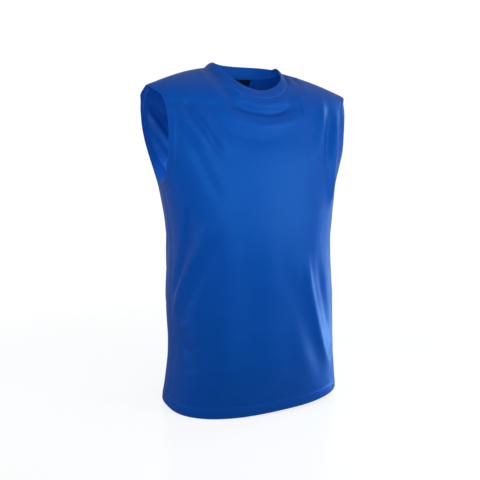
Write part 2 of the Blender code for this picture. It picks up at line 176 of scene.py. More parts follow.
# Creases that wander: soft ridges, or troughs where the height is negative. Each row has the height and the half
# width in millimetres, and a path of (degrees round from the centre front, level in millimetres).
CREASES = (
    # the loose cloth that hangs in a swag under the neckband
    (-4.7, 7, ((-22, -12), (-18, -41), (-16, -60), (-9, -85), (2, -94), (12, -80), (18, -52))),
    (2.5, 6, ((-18, -22), (-14, -50), (-9, -70), (-2, -78), (9, -68), (15, -48))),
    (2.9, 9, ((-25, -30), (-22, -71), (-15, -107), (-4, -119), (12, -108), (24, -75))),
    (-2.2, 12, ((-31, -40), (-28, -85), (-20, -135), (-6, -150), (12, -140))),
    # the right of the chest, down from the shoulder
    (4, 10, ((-50, -80), (-46, -100), (-41, -118), (-37, -140), (-35, -170))),
    (-4.7, 7, ((-41, -50), (-39, -80), (-37, -104), (-34, -137), (-31, -166), (-30, -195))),
    (2.7, 7, ((-36, -55), (-34, -85), (-31, -120), (-27, -155), (-24, -190))),
    (-2.9, 9, ((-32, -36), (-30, -77), (-25, -122), (-21, -171))),
    (-3.2, 12, ((-44, -153), (-41, -191), (-38, -240), (-34, -279))),
    # puckers at both ends of the neckband
    (-2.2, 3.2, ((17.5, 2), (18, -6), (18.3, -14), (17.5, -30))),
    (2.2, 3, ((19.5, 2), (20, -9), (19.5, -20), (18, -34))),
    (-2.2, 3, ((21, 0), (21.5, -10), (21.5, -22))),
    (1.8, 4, ((24, -2), (25, -12), (25, -25))),
    (-1.2, 3.5, ((-20, 0), (-20, -9), (-21, -28))),
    (1.1, 3.5, ((-23, 0), (-23.5, -12), (-25, -34))),
    # the left of the chest
    (1.4, 6, ((12, -78), (20, -53), (29, -25))),
    (1.6, 7, ((34, -36), (32, -81), (31, -146))),
    (-2.2, 6, ((37, -50), (36, -113), (36, -167), (37, -220))),
    (3.4, 6.5, ((44, -70), (42, -123), (43, -199), (47, -253), (50, -307))),
    (-1.6, 6, ((48, -85), (47, -150), (49, -220))),
    # from the right of the waist down to the side seam
    (2, 11, ((-30, -255), (-38, -300), (-51, -370), (-64, -409), (-71, -455), (-81, -509), (-88, -540))),
    (-2.6, 9, ((-50, -265), (-57, -294), (-64, -359), (-76, -441), (-82, -480))),
    (-2.6, 12, ((-36, -310), (-42, -355), (-51, -417), (-60, -467), (-72, -520), (-80, -550))),
    # the left of the skirt
    (2.6, 8, ((22, -360), (21.5, -410), (22.5, -457), (26, -505), (30, -550), (36.5, -600), (44, -650))),
    (-1.4, 20, ((41, -225), (40, -290), (39, -350), (37.5, -410), (37, -470))),
    (-1.4, 8, ((76, -460), (74, -540), (70, -620))),
    # wrinkles across the right flank
    (-1.2, 5, ((-84, -556), (-74, -547), (-61, -532))),
    (1.2, 6, ((-82, -535), (-70, -528), (-58, -512))),
    (-1.2, 4, ((-70, -613), (-62, -606), (-51, -605))),
    (-1, 5, ((-78, -582), (-62, -568), (-53, -554))),
    (1, 4, ((-66, -587), (-54, -580))),
    (2.4, 12, ((-32, -580), (-36, -634), (-41, -672))),
    # back: from the shoulder blades to the armholes, and down the skirt
    (-1.6, 8, ((-128, -75), (-134, -110), (-143, -150), (-155, -175))),
    (1.6, 7.5, ((-126, -150), (-136, -205), (-147, -245), (-163, -270))),
    (1.5, 8, ((128, -60), (137, -100), (150, -135), (163, -150))),
    (-1.8, 7, ((124, -160), (133, -205), (146, -240), (158, -250))),
    (1.8, 9, ((112, -300), (124, -350), (139, -400), (150, -470))),
    (-1.6, 8.5, ((-108, -300), (-122, -360), (-138, -420), (-146, -500))),
    (1.4, 9, ((172, -420), (166, -500), (164, -590), (168, -670))),
)
CREASE_FADE = 0.006  # creases die away over this height below the shoulder seam
CREASE_STEPS = 40
CREASE_TAPER = 0.28  # over this share of its length at each end a crease rises
CREASE_REACH = 3  # half widths, beyond which a crease is too low to count
CREASE_PROFILE = 1.8  # the power in its bell-shaped profile

SINGLE = 0.0008  # one layer of the knit
DOUBLE = 0.0017  # two layers: hem and bands
HEM_DEPTH = 0.026
HEM_STEP = 0.0004  # over this width the wall goes over from two layers to one
HEM_STITCH_ROWS = (0.0216, 0.0244)
FRONT, BACK = False, True
HEM_LEVEL = -BODY_LENGTH
UNDERARM_LEVEL = -UNDERARM_DEPTH
BAND_CUT = np.degrees(ARMHOLE_BAND_WIDTH / GIRTH_RADIUS)  # what the panels are cut away for the armhole bands
SETTLE_ROUNDS = 60  # enough for a point that depends on its own level to settle
SAMPLES = np.linspace(0, 1, 1001)


# ---------------- the CAD part's own functions
def smooth(t):
    t = np.clip(t, 0, 1)
    return t * t * (3 - 2 * t)


def bell(distance, width):
    return np.exp(-((distance / width) ** 2))


def unit(vectors):
    return vectors / np.maximum(np.linalg.norm(vectors, axis=-1, keepdims=True), 1e-12)


def hermite(t, span, start, start_slope, end, end_slope):
    return ((1 + 2 * t) * (1 - t) ** 2 * start + t * (1 - t) ** 2 * span * start_slope
            + t * t * (3 - 2 * t) * end + t * t * (t - 1) * span * end_slope)


def section(level, column):
    levels = np.array([row.level for row in SECTIONS])
    values = np.array([getattr(row, column) for row in SECTIONS])
    slopes = np.gradient(values, levels)
    level = np.clip(level, levels[0], levels[-1])
    row = np.clip(np.searchsorted(levels, level) - 1, 0, len(levels) - 2)
    height = levels[row + 1] - levels[row]
    t = (level - levels[row]) / height
    return hermite(t, height, values[row], slopes[row], values[row + 1], slopes[row + 1])


def shoulder_level(x):
    t = (np.abs(x) - NECK_HALF_WIDTH) / (SHOULDER_HALF_WIDTH - NECK_HALF_WIDTH)
    over = np.clip(t, 0, 1)
    bow = SHOULDER_BOW * (1 - (1 - over) ** 3 - over)
    above_neck = (1 + 2 * SHOULDER_BOW) * np.minimum(t, 0)
    rise = NECK_RISE * (np.exp(-np.maximum(t, 0) / NECK_RISE_RUN) - np.minimum(t, 0) / (2 * NECK_RISE_RUN))
    return rise - SHOULDER_DROP * (np.maximum(t, 0) + bow + above_neck)


def neck_level(x, back):
    drop = BACK_NECK_DROP if back else FRONT_NECK_DROP
    power = BACK_NECK_SQUARENESS if back else FRONT_NECK_SQUARENESS
    across = np.clip(np.abs(x) / NECK_HALF_WIDTH, 0, 1)
    return NECK_RISE - (drop + NECK_RISE) * (1 - across**power) ** (1 / power)


def half_width_at(angle, level):
    above_underarm = np.clip(1 + level / UNDERARM_DEPTH, 0, 1)
    power = BODY_SQUARENESS + (SHOULDER_SQUARENESS - BODY_SQUARENESS) * above_underarm
    reach = (np.abs(np.cos(angle)) ** power + np.abs(np.sin(angle)) ** power) ** (-1 / power)
    return section(level, "half_width") * reach * np.sin(angle), reach


def body_points(angle, level, back):
    x, reach = half_width_at(angle, level)
    roll = BACK_ROLL if back else FRONT_ROLL
    below_seam = np.clip((shoulder_level(x) - level) / roll.height, 0, 1)
    rolled = (1 - (1 - below_seam) ** roll.squareness) ** (1 / roll.squareness)
    stand_off = section(level, "back" if back else "front") * reach * np.cos(angle) * rolled
    side = 1 if back else -1
    y = section(level, "seam_y") + side * stand_off
    low = np.clip((UNDERARM_LEVEL - level) / (UNDERARM_LEVEL - HEM_LEVEL), 0, 1) ** 2
    dip = HEM_DIP_FRONT * -side * stand_off / SECTIONS[0].front + HEM_DIP_RIGHT * -x / SECTIONS[0].half_width
    return np.stack([x, y, level - low * dip], axis=-1)


def round_from_front(angle, back):
    return np.where(angle < 0, -np.pi - angle, np.pi - angle) if back else angle


def from_place(around, place):
    """The way round the body to each point from a place on it, the shorter way, as a length."""
    return (around * GIRTH_RADIUS - place + GIRTH / 2) % GIRTH - GIRTH / 2


def fold_relief(angle, level, back):
    """How far the folds raise or sink the cloth."""
    around = round_from_front(angle, back)
    relief = np.zeros(np.broadcast(angle, level).shape)
    for fold in FOLDS + FINE_FOLDS:
        start = np.radians(fold.around) * GIRTH_RADIUS
        run = np.radians(fold.to_around - fold.around) * GIRTH_RADIUS
        rise = fold.to_level - fold.level
        length = np.hypot(run, rise)
        across = from_place(around, start)
        height = level - fold.level
        along = np.clip((across * run + height * rise) / length**2, 0, 1)
        offset = (height * run - across * rise) / length - fold.bend * 4 * along * (1 - along)
        width = fold.half_width * (1 + fold.lean * np.tanh(offset / fold.half_width))
        crest = (1 - 0.5 * (offset / width) ** 2) * bell(offset, width)
        ends = smooth(along / FOLD_TAPER) * smooth((1 - along) / FOLD_TAPER)
        relief += fold.height * crest * ends
    x = half_width_at(angle, level)[0]
    return relief * smooth((shoulder_level(x) - level) / FOLD_FADE)


def crease_relief(angle, level, back):
    """How far the wandering creases raise or sink the cloth."""
    around, level = np.broadcast_arrays(round_from_front(angle, back), level)
    relief = np.zeros(around.shape)
    for height, half_width, path in CREASES:
        path = np.array([(np.radians(degrees) * GIRTH_RADIUS, at_level / 1000) for degrees, at_level in path])
        run = arc(path)
        at = np.linspace(0, run[-1], CREASE_STEPS + 1)
        slopes = np.gradient(path, run, axis=0)
        leg = np.clip(np.searchsorted(run, at, side="right") - 1, 0, len(run) - 2)
        span = (run[leg + 1] - run[leg])[:, None]
        t = (at - run[leg])[:, None] / span
        line = hermite(t, span, path[leg], slopes[leg], path[leg + 1], slopes[leg + 1])
        across = from_place(around, line[0, 0]) + line[0, 0]
        margin = CREASE_REACH * half_width / 1000
        near = ((across > line[:, 0].min() - margin) & (across < line[:, 0].max() + margin)
                & (level > line[:, 1].min() - margin) & (level < line[:, 1].max() + margin))
        if not near.any():
            continue
        here = np.stack([across[near], level[near]], axis=-1)[:, None]
        step = np.diff(line, axis=0)
        share = np.clip(np.sum((here - line[:-1]) * step, axis=-1) / np.sum(step * step, axis=-1), 0, 1)
        distance = np.linalg.norm(here - line[:-1] - share[..., None] * step, axis=-1)
        closest = distance.argmin(axis=1)
        rows = np.arange(len(closest))
        along = (closest + share[rows, closest]) / CREASE_STEPS
        ends = smooth(along / CREASE_TAPER) * smooth((1 - along) / CREASE_TAPER)
        crest = np.exp(-((distance[rows, closest] * 1000 / half_width) ** CREASE_PROFILE))
        relief[near] += height / 1000 * crest * ends
    x = half_width_at(angle, level)[0]
    return relief * smooth((shoulder_level(x) - level) / CREASE_FADE)


def armhole_edge(share, back, cut_more, lower):
    bottom = UNDERARM_LEVEL - lower
    tip = SHOULDER_HALF_WIDTH
    middle = (ARMHOLE_CUT_BACK if back else ARMHOLE_CUT_FRONT) + cut_more
    top = ARMHOLE_CUT_TIP + cut_more
    for _ in range(SETTLE_ROUNDS):
        tip = half_width_at(np.radians(90 - top), shoulder_level(tip))[0]
    height = share * (shoulder_level(tip) - bottom)
    turned = np.sqrt(1 - (1 - np.clip(height / ARMHOLE_TURN, 0, 1)) ** 2)
    past = smooth((height - ARMHOLE_TURN) / (shoulder_level(tip) - bottom - ARMHOLE_TURN))
    cut = middle * turned * (1 - past) + top * past
    return np.radians(90 - cut), bottom + height


def shoulder_edge(across, widest):
    """The level where columns that start at these shares of the widest angle meet the shoulder seam."""
    angle = across * widest
    x = SHOULDER_HALF_WIDTH * across
    for _ in range(SETTLE_ROUNDS):
        x = np.maximum((x + half_width_at(angle, shoulder_level(x))[0]) / 2, NECK_HALF_WIDTH)
    return shoulder_level(x)


# ---------------- finer grids, in metres along the cloth
EDGE_GAPS = np.array([0.0003, 0.0005, 0.0008, 0.0012, 0.0018, 0.0027, 0.0040, 0.0060, 0.0088])
HEM_GAPS = np.array([0.00005, 0.0002, 0.00045, 0.00085, 0.0018, 0.0035, 0.006, 0.009, 0.012, 0.015, 0.018, 0.0202,
                     0.0210, 0.0216, 0.0222, 0.0230, 0.0238, 0.0244, 0.0250, 0.0258, 0.0262, 0.0270, 0.0285, 0.032])
BODY_ROWS = 78
ARMHOLE_ROWS = 78
SHOULDER_STEPS = 34
NECK_STEPS = 84
EVEN_NECK_SHARE = 0.2  # of the neck columns' spacing, the rest follows the length of the neckline
BAND_ROWS_AROUND = 84
NECKBAND_ROWS = 14
ARMHOLE_BAND_ROWS = 9
LABEL_ROWS, LABEL_COLUMNS = 16, 34
BAND_BOTTOM_GAPS, BAND_TOP_GAPS = (0.0004, 0.0010, 0.0020), (0.0004, 0.0009, 0.0018)
BAND_SEAM_GAPS = EDGE_GAPS[:6]
TURNED_EDGE_GAPS = np.array([0.0002, 0.00045, 0.00085, 0.0016, 0.0028])
LABEL_EDGE_GAPS = (0.0002, 0.0006, 0.0012)
SEARCH_STEP = 0.0004
WIDTH_SAMPLES = np.linspace(-1.2, 1.2, 1501)  # of the widest angle, a little past both sides
NECK_SAMPLES = np.sin(np.linspace(-np.pi / 2, np.pi / 2, 1201))
LOW_SAMPLES = np.linspace(0, 1, 500)[:, None]
HIGH_SAMPLES = (1 - (1 - np.linspace(0, 1, 900)) ** 3)[:, None]  # closer together at the top
SLOPE_STEP = 1e-4
RIPPLE_LENGTHS = (0.0071, 0.0113, 0.0187, 0.0310)
RIPPLE_GAIN, RIPPLE_SWELL_LENGTH = 1.4, 0.13
SWELL_COUNT, SWELL_LENGTHS = 10, (0.05, 0.16)
UNDERARM_GAPS = EDGE_GAPS[::3]
UNDERARM_ROW = BODY_ROWS + len(HEM_GAPS) + len(UNDERARM_GAPS)
LEVEL_HEM = 0.027  # below this height above the hem the rows run level
HALF_SPAN = 0.27  # about the cloth from the centre to a side, which turns shares of it into distances
CORNER = SHOULDER_STEPS + len(EDGE_GAPS)  # the column at each end of the neck
NECK = slice(CORNER, -CORNER)
COLUMNS_TURN = 0.25  # from this share of the way up to the top, the columns turn to where they end


def spaced(length, count, first=(), last=()):
    """Distances from 0 to length: close at the ends as first and last say, even between."""
    start = np.concatenate([[0.0], first])
    end = length - np.concatenate([[0.0], last])[::-1]
    return np.concatenate([start, np.linspace(start[-1], end[0], count + 1)[1:-1], end])


def arc(points, axis=0):
    """Length along a line of points from its start."""
    steps = np.linalg.norm(np.diff(points, axis=axis), axis=-1)
    zero = np.zeros_like(np.take(steps, [0], axis=axis))
    return np.concatenate([zero, np.cumsum(steps, axis=axis)], axis=axis)


def at_distances(at, run, values):
    """Values at these distances along a line, of which run is the length so far at each value."""
    return np.stack([np.interp(at, run, values[:, k]) for k in range(3)], axis=-1)


def angle_at(x, level, widest):
    """The angle at which the body is x wide at a level, for matching rows of x and level."""
    table = WIDTH_SAMPLES * widest
    return np.array([np.interp(at, half_width_at(table, height)[0], table) for at, height in zip(x, level)])


def panel_columns(back):
    """Where a panel's columns run: their shares of the widest angle below and at the top, and their top levels."""
    widest = armhole_edge(1.0, back, BAND_CUT, ARMHOLE_BAND_WIDTH)[0]
    neck_share = np.interp(NECK_HALF_WIDTH, half_width_at(SAMPLES * widest, 0 * SAMPLES)[0], SAMPLES)
    shoulder = neck_share + spaced(HALF_SPAN * (1 - neck_share), SHOULDER_STEPS, last=EDGE_GAPS)[1:] / HALF_SPAN
    shoulder_top = shoulder_edge(shoulder, widest)
    x = NECK_HALF_WIDTH * NECK_SAMPLES
    run = arc(body_points(angle_at(x, neck_level(x, back), widest), neck_level(x, back), back))
    even = np.linspace(0, 1, NECK_STEPS + 1)
    x = np.interp(even, (1 - EVEN_NECK_SHARE) * run / run[-1] + EVEN_NECK_SHARE * (NECK_SAMPLES + 1) / 2, x)
    neck_top = neck_level(x, back)
    neck_ends = angle_at(x, neck_top, widest) / widest
    low = np.concatenate([-shoulder[::-1], neck_share * (2 * even - 1), shoulder])
    high = np.concatenate([-shoulder[::-1], neck_ends, shoulder])
    return low, high, np.concatenate([shoulder_top[::-1], neck_top, shoulder_top])


def panel_angles(back):
    """(angle, level) grids of a panel's points, evenly spaced along each column and closer at its edges."""
    across, across_top, top = panel_columns(back)
    underarm = UNDERARM_LEVEL - ARMHOLE_BAND_WIDTH
    above_hem = HEM_LEVEL + LEVEL_HEM
    sag = ROW_SAG * (1 - across**2)
    low, high = LOW_SAMPLES, HIGH_SAMPLES
    edge_angle = armhole_edge(high, back, BAND_CUT, ARMHOLE_BAND_WIDTH)[0]
    low_level = HEM_LEVEL + (underarm - HEM_LEVEL) * low
    low_level = low_level - sag * smooth((low_level - above_hem) / (underarm - above_hem))
    low_angle = across * np.pi / 2 + 0 * low
    high_level = underarm + (top - underarm) * high - sag * (1 - high)
    high_angle = (across + (across_top - across) * smooth((high - COLUMNS_TURN) / (1 - COLUMNS_TURN))) * edge_angle
    columns = []
    for column in range(len(across)):
        parts = []
        for angle, level, count, first, last in (
            (low_angle[:, column], low_level[:, column], BODY_ROWS, HEM_GAPS, UNDERARM_GAPS),
            (high_angle[:, column], high_level[:, column], ARMHOLE_ROWS, UNDERARM_GAPS, EDGE_GAPS),
        ):
            run = arc(body_points(angle, level, back))
            at = spaced(run[-1], count, first=first, last=last)
            parts.append(np.array([np.interp(at, run, angle), np.interp(at, run, level)]))
        columns.append(np.concatenate([parts[0], parts[1][:, 1:]], axis=1))
    return np.array(columns).transpose(1, 2, 0)


def surface_normals(angle, level, back):
    """Unit normals of the body without its folds, away from the body, and straight off the seam on the shoulder."""
    step = SLOPE_STEP
    round_body = body_points(angle + step, level, back) - body_points(angle - step, level, back)
    up_body = body_points(angle, level + step, back) - body_points(angle, level - step, back)
    normals = unit(np.cross(up_body, round_body) if back else np.cross(round_body, up_body))
    x = half_width_at(angle, level)[0]
    slope = (shoulder_level(x + step) - shoulder_level(x - step)) / (2 * step)
    seam_normals = unit(np.stack([-slope, np.zeros_like(x), np.ones_like(x)], axis=-1))
    near = smooth((shoulder_level(x) - level) / (4 * step))[..., None]
    return unit(seam_normals * (1 - near) + normals * near)


def nearest(points, line):
    """Distance from each point to a line, given as points close together, and how far along it that is."""
    run = arc(line)
    at = np.arange(0, run[-1], SEARCH_STEP)
    dense = at_distances(at, run, line)
    tree = KDTree(len(dense))
    for index, point in enumerate(dense):
        tree.insert(point, index)
    tree.balance()
    found = [tree.find(point) for point in points.reshape(-1, 3)]
    distance = np.array([hit[2] for hit in found]).reshape(points.shape[:-1])
    along = at[np.array([hit[1] for hit in found])].reshape(points.shape[:-1])
    return distance, along


def rounded(from_edge):
    """How far each side of a doubled wall draws in near its rounded edge."""
    radius = DOUBLE / 2
    drawn_in = radius - np.sqrt(np.maximum(radius**2 - (radius - from_edge) ** 2, 0))
    return np.where(from_edge < radius, drawn_in, 0)


def waves(along, seed, lengths=RIPPLE_LENGTHS):
    """An uneven ripple between about -1 and 1 along a seam."""
    rng = np.random.default_rng(seed)
    total = 0
    for length in lengths:
        total = total + np.sin(2 * np.pi * along / length + rng.uniform(0, 2 * np.pi)) * rng.uniform(0.5, 1.0)
    swell = 0.55 + 0.45 * np.sin(2 * np.pi * along / RIPPLE_SWELL_LENGTH + rng.uniform(0, 2 * np.pi))
    return total / len(lengths) * RIPPLE_GAIN * swell


def swells(points, seed):
    """Faint broad unevenness of hanging cloth, in metres."""
    rng = np.random.default_rng(seed)
    total = np.zeros(points.shape[:-1])
    for _ in range(SWELL_COUNT):
        direction = unit(rng.normal(size=3) * np.array([1.0, 1.0, 0.5]))
        length = rng.uniform(*SWELL_LENGTHS)
        total += np.sin(2 * np.pi * points @ direction / length + rng.uniform(0, 2 * np.pi))
    return total / SWELL_COUNT


# ---------------- panels
# Near a seam the cloth sinks into it, swells over the allowance behind it, and ripples.
SEAM_DIP, SEAM_DIP_WIDTH = 0.00075, 0.0011
SEAM_SWELL, SEAM_SWELL_AT, SEAM_SWELL_WIDTH = 0.00028, 0.0034, 0.0020
SEAM_LINE_WIDTH = 0.0013
RIPPLE_REACH, RIPPLE_START = 0.0070, 0.0012
SIDE_RIPPLE, ARMHOLE_RIPPLE, SHOULDER_RIPPLE, NECK_RIPPLE = 0.00028, 0.00030, 0.00018, 0.00020
SWELLS = 0.0008
# Along the hem the stitches sink in, the turned cloth below them is full, and the cloth around them puckers.
STITCH_DIP, STITCH_DIP_WIDTH = 0.00060, 0.0008
STITCH_LINE, STITCH_LINE_WIDTH = 0.45, 0.0006
HEM_PUCKER, HEM_PUCKER_REACH, HEM_PUCKER_START = 0.00034, 0.010, 0.008
HEM_PUCKER_LENGTHS = (0.0083, 0.0127, 0.0205, 0.0370)
HEM_FULL, HEM_FULL_AT, HEM_FULL_WIDTH = 0.00045, 0.012, 0.006
THINNEST = 0.0001  # of a wall where its edge is rounded off


def panel_walls(back):
    """Outer and inner grids of a body panel, and what its other pieces need of it."""
    angle, level = panel_angles(back)
    base = body_points(angle, level, back)
    normals = surface_normals(angle, level, back)
    relief = fold_relief(angle, level, back) + crease_relief(angle, level, back)
    broad = SWELLS * swells(base, 5) * smooth((shoulder_level(base[..., 0]) - level) / FOLD_FADE)
    outer = base + normals * (relief + broad)[..., None]
    outer[..., 1] += SEAM_GAP / 2 if back else -SEAM_GAP / 2
    seams = [  # line, seed of its ripple, height of its ripple
        (outer[: UNDERARM_ROW + 1, 0], 11, SIDE_RIPPLE), (outer[: UNDERARM_ROW + 1, -1], 12, SIDE_RIPPLE),
        (outer[UNDERARM_ROW:, 0], 21 + back, ARMHOLE_RIPPLE), (outer[UNDERARM_ROW:, -1], 31 + back, ARMHOLE_RIPPLE),
        (outer[-1, : CORNER + 1], 41, SHOULDER_RIPPLE), (outer[-1, -CORNER - 1 :], 42, SHOULDER_RIPPLE),
        (outer[-1, NECK], 51 + back, NECK_RIPPLE),
    ]
    lift = np.zeros(outer.shape[:-1])
    groove = np.zeros_like(lift)
    for line, seed, ripple in seams:
        distance, along = nearest(outer, line)
        lift -= SEAM_DIP * bell(distance, SEAM_DIP_WIDTH)
        lift += SEAM_SWELL * bell(distance - SEAM_SWELL_AT, SEAM_SWELL_WIDTH)
        lift += ripple * waves(along, seed) * np.exp(-distance / RIPPLE_REACH) * smooth(distance / RIPPLE_START)
        groove = np.maximum(groove, bell(distance, SEAM_LINE_WIDTH))
    from_hem = arc(outer)
    for row in HEM_STITCH_ROWS:
        lift -= STITCH_DIP * bell(from_hem - row, STITCH_DIP_WIDTH)
        groove = np.maximum(groove, STITCH_LINE * bell(from_hem - row, STITCH_LINE_WIDTH))
    pucker = waves(arc(outer, axis=1), 61 + back, HEM_PUCKER_LENGTHS)
    near_hem = np.exp(-np.abs(from_hem - HEM_STITCH_ROWS[1]) / HEM_PUCKER_REACH) * smooth(from_hem / HEM_PUCKER_START)
    lift += HEM_PUCKER * pucker * near_hem
    lift += HEM_FULL * bell(from_hem - HEM_FULL_AT, HEM_FULL_WIDTH)
    inset = rounded(from_hem)
    outer += normals * (lift - inset)[..., None]
    folded = smooth((HEM_DEPTH + HEM_STEP / 2 - from_hem) / HEM_STEP)
    wall = SINGLE + (DOUBLE - SINGLE) * folded
    wall = np.where(from_hem < DOUBLE / 2, np.maximum(DOUBLE - 2 * inset, THINNEST), wall)
    inner = outer - normals * wall[..., None]
    return {"outer": outer, "inner": inner, "normals": normals, "edge": groove, "from_hem": from_hem}


def loop_between(front, back):
    """One loop round the neck, from the right neck point past the front."""
    loop = np.concatenate([front, back[-2:0:-1]])
    loop[0] = (front[0] + back[0]) / 2
    loop[len(front) - 1] = (front[-1] + back[-1]) / 2
    return loop


# ---------------- meshes
def in_scene(name, data):
    """A new object in the scene."""
    made = bpy.data.objects.new(name, data)
    bpy.context.scene.collection.objects.link(made)
    return made


def add_mesh(name, points, faces, material, uvs, edge, sharp=None):
    """A cloth piece. uvs are in metres, and edge says how strongly a seam shows at each point."""
    mesh = bpy.data.meshes.new(name)
    mesh.from_pydata([tuple(p) for p in points], [], faces)
    layer = mesh.uv_layers.new(name="cloth_metres")
    corner = np.zeros(len(mesh.loops), dtype=np.int64)
    mesh.loops.foreach_get("vertex_index", corner)
    layer.data.foreach_set("uv", np.asarray(uvs, dtype=np.float32)[corner].ravel())
    attribute = mesh.attributes.new("seam", "FLOAT", "POINT")
    attribute.data.foreach_set("value", np.asarray(edge, dtype=np.float32).ravel())
    mesh.validate()
    mesh.update()
    mesh.shade_smooth()
    if sharp is not None:
        mesh.set_sharp_from_angle(angle=np.radians(sharp))
    mesh.materials.append(material)
    piece = in_scene(name, mesh)
    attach(piece, "root")
    return piece


INSIDE_SHIFT = np.array([3.1, 0.0])  # metres, so that the two sides of a wall don't show the same knit
INSIDE_SEAM = 0.5  # how strongly a seam shows inside


def wall_mesh(name, outer, inner, material, edge, loop=False, flip=False, sharp=62):
    """One closed wall between two grids of points. In a loop the last column meets the first."""
    rows, columns = outer.shape[:2]
    points = np.concatenate([outer.reshape(-1, 3), inner.reshape(-1, 3)])
    index = np.arange(2 * rows * columns).reshape(2, rows, columns)
    faces = []

    def quads(a, b, c, d):
        stack = np.stack([a.ravel(), b.ravel(), c.ravel(), d.ravel()], axis=-1)
        faces.extend(stack[:, ::-1].tolist() if flip else stack.tolist())

    right = np.arange(columns) if loop else np.arange(1, columns)
    left = right - 1
    o, i = index
    quads(o[:-1][:, left], o[:-1][:, right], o[1:][:, right], o[1:][:, left])
    quads(i[:-1][:, right], i[:-1][:, left], i[1:][:, left], i[1:][:, right])
    quads(i[0, left], i[0, right], o[0, right], o[0, left])
    quads(o[-1, left], o[-1, right], i[-1, right], i[-1, left])
    if not loop:
        quads(i[:-1, 0], o[:-1, 0], o[1:, 0], i[1:, 0])
        quads(o[:-1, -1], i[:-1, -1], i[1:, -1], o[1:, -1])
    middle = columns // 2
    closed = np.concatenate([outer, outer[:, :1]], axis=1) if loop else outer
    u = arc(closed, axis=1)[:, :columns]
    u = u - (u[:, middle : middle + 1] if not loop else 0)
    uv = np.stack([u, arc(outer)], axis=-1).reshape(-1, 2)
    uv = np.concatenate([uv, uv + INSIDE_SHIFT])
    seam = np.concatenate([edge.ravel(), edge.ravel() * INSIDE_SEAM])
    return add_mesh(name, points, faces, material, uv, seam, sharp)


# ---------------- materials
WHITE = (1.0, 1.0, 1.0, 1.0)
WAVE_UNIT = 2 * np.pi / 20  # a wave texture of scale 1 repeats over this length
COURSE_SHARE = 0.78  # of the distance between wales, the distance between courses
FUZZ_SCALE, FUZZ_SHARE = 900.0, 0.35  # of the hairs on the yarn, and how they stand against its loops
LOOP_HEIGHT = 0.00016
STREAK_STRETCH = (9.0, 260.0, 1.0)  # faint uneven courses
BROAD_SCALE = 14.0
SEAM_PALER = 0.5
ROUGHNESS_SPREAD = 0.05
MIX_COLOURS = (6, 7)  # the places of a Mix node's two colours among its inputs, and of its result
MIX_RESULT = 2


def feed(tree, target, inputs):
    """Sets a node's inputs, each to a value or to the output that it is linked from."""
    for entry, value in inputs.items():
        if isinstance(value, bpy.types.NodeSocket):
            tree.links.new(value, target.inputs[entry])
        else:
            target.inputs[entry].default_value = value


def node(tree, kind, output, inputs, **settings):
    """Adds a node and gives one of its outputs."""
    made = tree.nodes.new("ShaderNode" + kind)
    for key, value in settings.items():
        setattr(made, key, value)
    feed(tree, made, inputs)
    return made.outputs[output]


def calculate(tree, operation, *values):
    return node(tree, "Math", "Value", dict(enumerate(values)), operation=operation)


def cloth_material(name, colour, pale, roughness, sheen, pitch, bump, streak=0.04, turn=0.0):
    """A fine knit: loops in wales and courses with painted shade between them and painted highlight on them, faint
    uneven courses, a paler broken line where it is sewn.
    """
    material = bpy.data.materials.new(name)
    material.use_nodes = True
    tree = material.node_tree
    shader = tree.nodes["Principled BSDF"]
    place = node(tree, "UVMap", "UV", {}, uv_map="cloth_metres")
    turned = node(tree, "Mapping", "Vector", {"Vector": place, "Rotation": (0, 0, turn)})
    wales, courses = (
        node(tree, "TexWave", "Fac", {"Vector": turned, "Scale": WAVE_UNIT / apart, "Distortion": 0.0},
             wave_type="BANDS", bands_direction=direction, wave_profile="SIN")
        for direction, apart in (("X", pitch), ("Y", pitch * COURSE_SHARE)))
    loops = calculate(tree, "MULTIPLY", wales, courses)
    fuzz = node(tree, "TexNoise", "Fac", {"Vector": turned, "Scale": FUZZ_SCALE, "Detail": 2.0})
    height = calculate(tree, "MULTIPLY_ADD", fuzz, FUZZ_SHARE, loops)
    relief = node(tree, "Bump", "Normal", {"Height": height, "Strength": bump, "Distance": LOOP_HEIGHT})
    stretched = node(tree, "Mapping", "Vector", {"Vector": turned, "Scale": STREAK_STRETCH})
    streaks = node(tree, "TexNoise", "Fac", {"Vector": stretched, "Scale": 1.0, "Detail": 3.0, "Roughness": 0.6})
    broad = node(tree, "TexNoise", "Fac", {"Vector": place, "Scale": BROAD_SCALE, "Detail": 2.0})
    spread = node(tree, "MapRange", "Result", {"Value": calculate(tree, "ADD", streaks, broad), "From Min": 0.6,
                                               "From Max": 1.4, "To Min": 1 - streak, "To Max": 1 + streak})
    # painted shade and highlight: the colour is darker between the knit loops and lighter on their tops, in the
    # pattern of the loops' bump
    painted_loop_shade = node(tree, "MapRange", "Result", {"Value": loops, "To Min": 0.90, "To Max": 1.08})
    # the colour goes up to halfway over to the paler one where the seam attribute is high: along seam lines, hem
    # stitch rows, band edges, overlock edges and label rims
    seam = node(tree, "Attribute", "Fac", {}, attribute_name="seam")
    paler = calculate(tree, "MULTIPLY", seam, SEAM_PALER)
    paler_at_seams = node(tree, "Mix", MIX_RESULT, {"Factor": paler, MIX_COLOURS[0]: colour, MIX_COLOURS[1]: pale},
                data_type="RGBA")
    value = calculate(tree, "MULTIPLY", spread, painted_loop_shade)
    shade = node(tree, "HueSaturation", "Color", {"Color": paler_at_seams, "Value": value})
    rough = node(tree, "MapRange", "Result", {"Value": broad, "To Min": roughness - ROUGHNESS_SPREAD,
                                              "To Max": roughness + ROUGHNESS_SPREAD})
    shader.inputs["Roughness"].default_value = roughness
    feed(tree, shader, {
        "Base Color": shade, "Roughness": rough, "Normal": relief, "Sheen Weight": sheen, "Sheen Roughness": 0.24,
        "Sheen Tint": (0.55, 0.75, 1.0, 1.0), "IOR": 1.46, "Specular IOR Level": 0.30,
        "Specular Tint": (0.10, 0.55, 1.0, 1.0)})
    return material


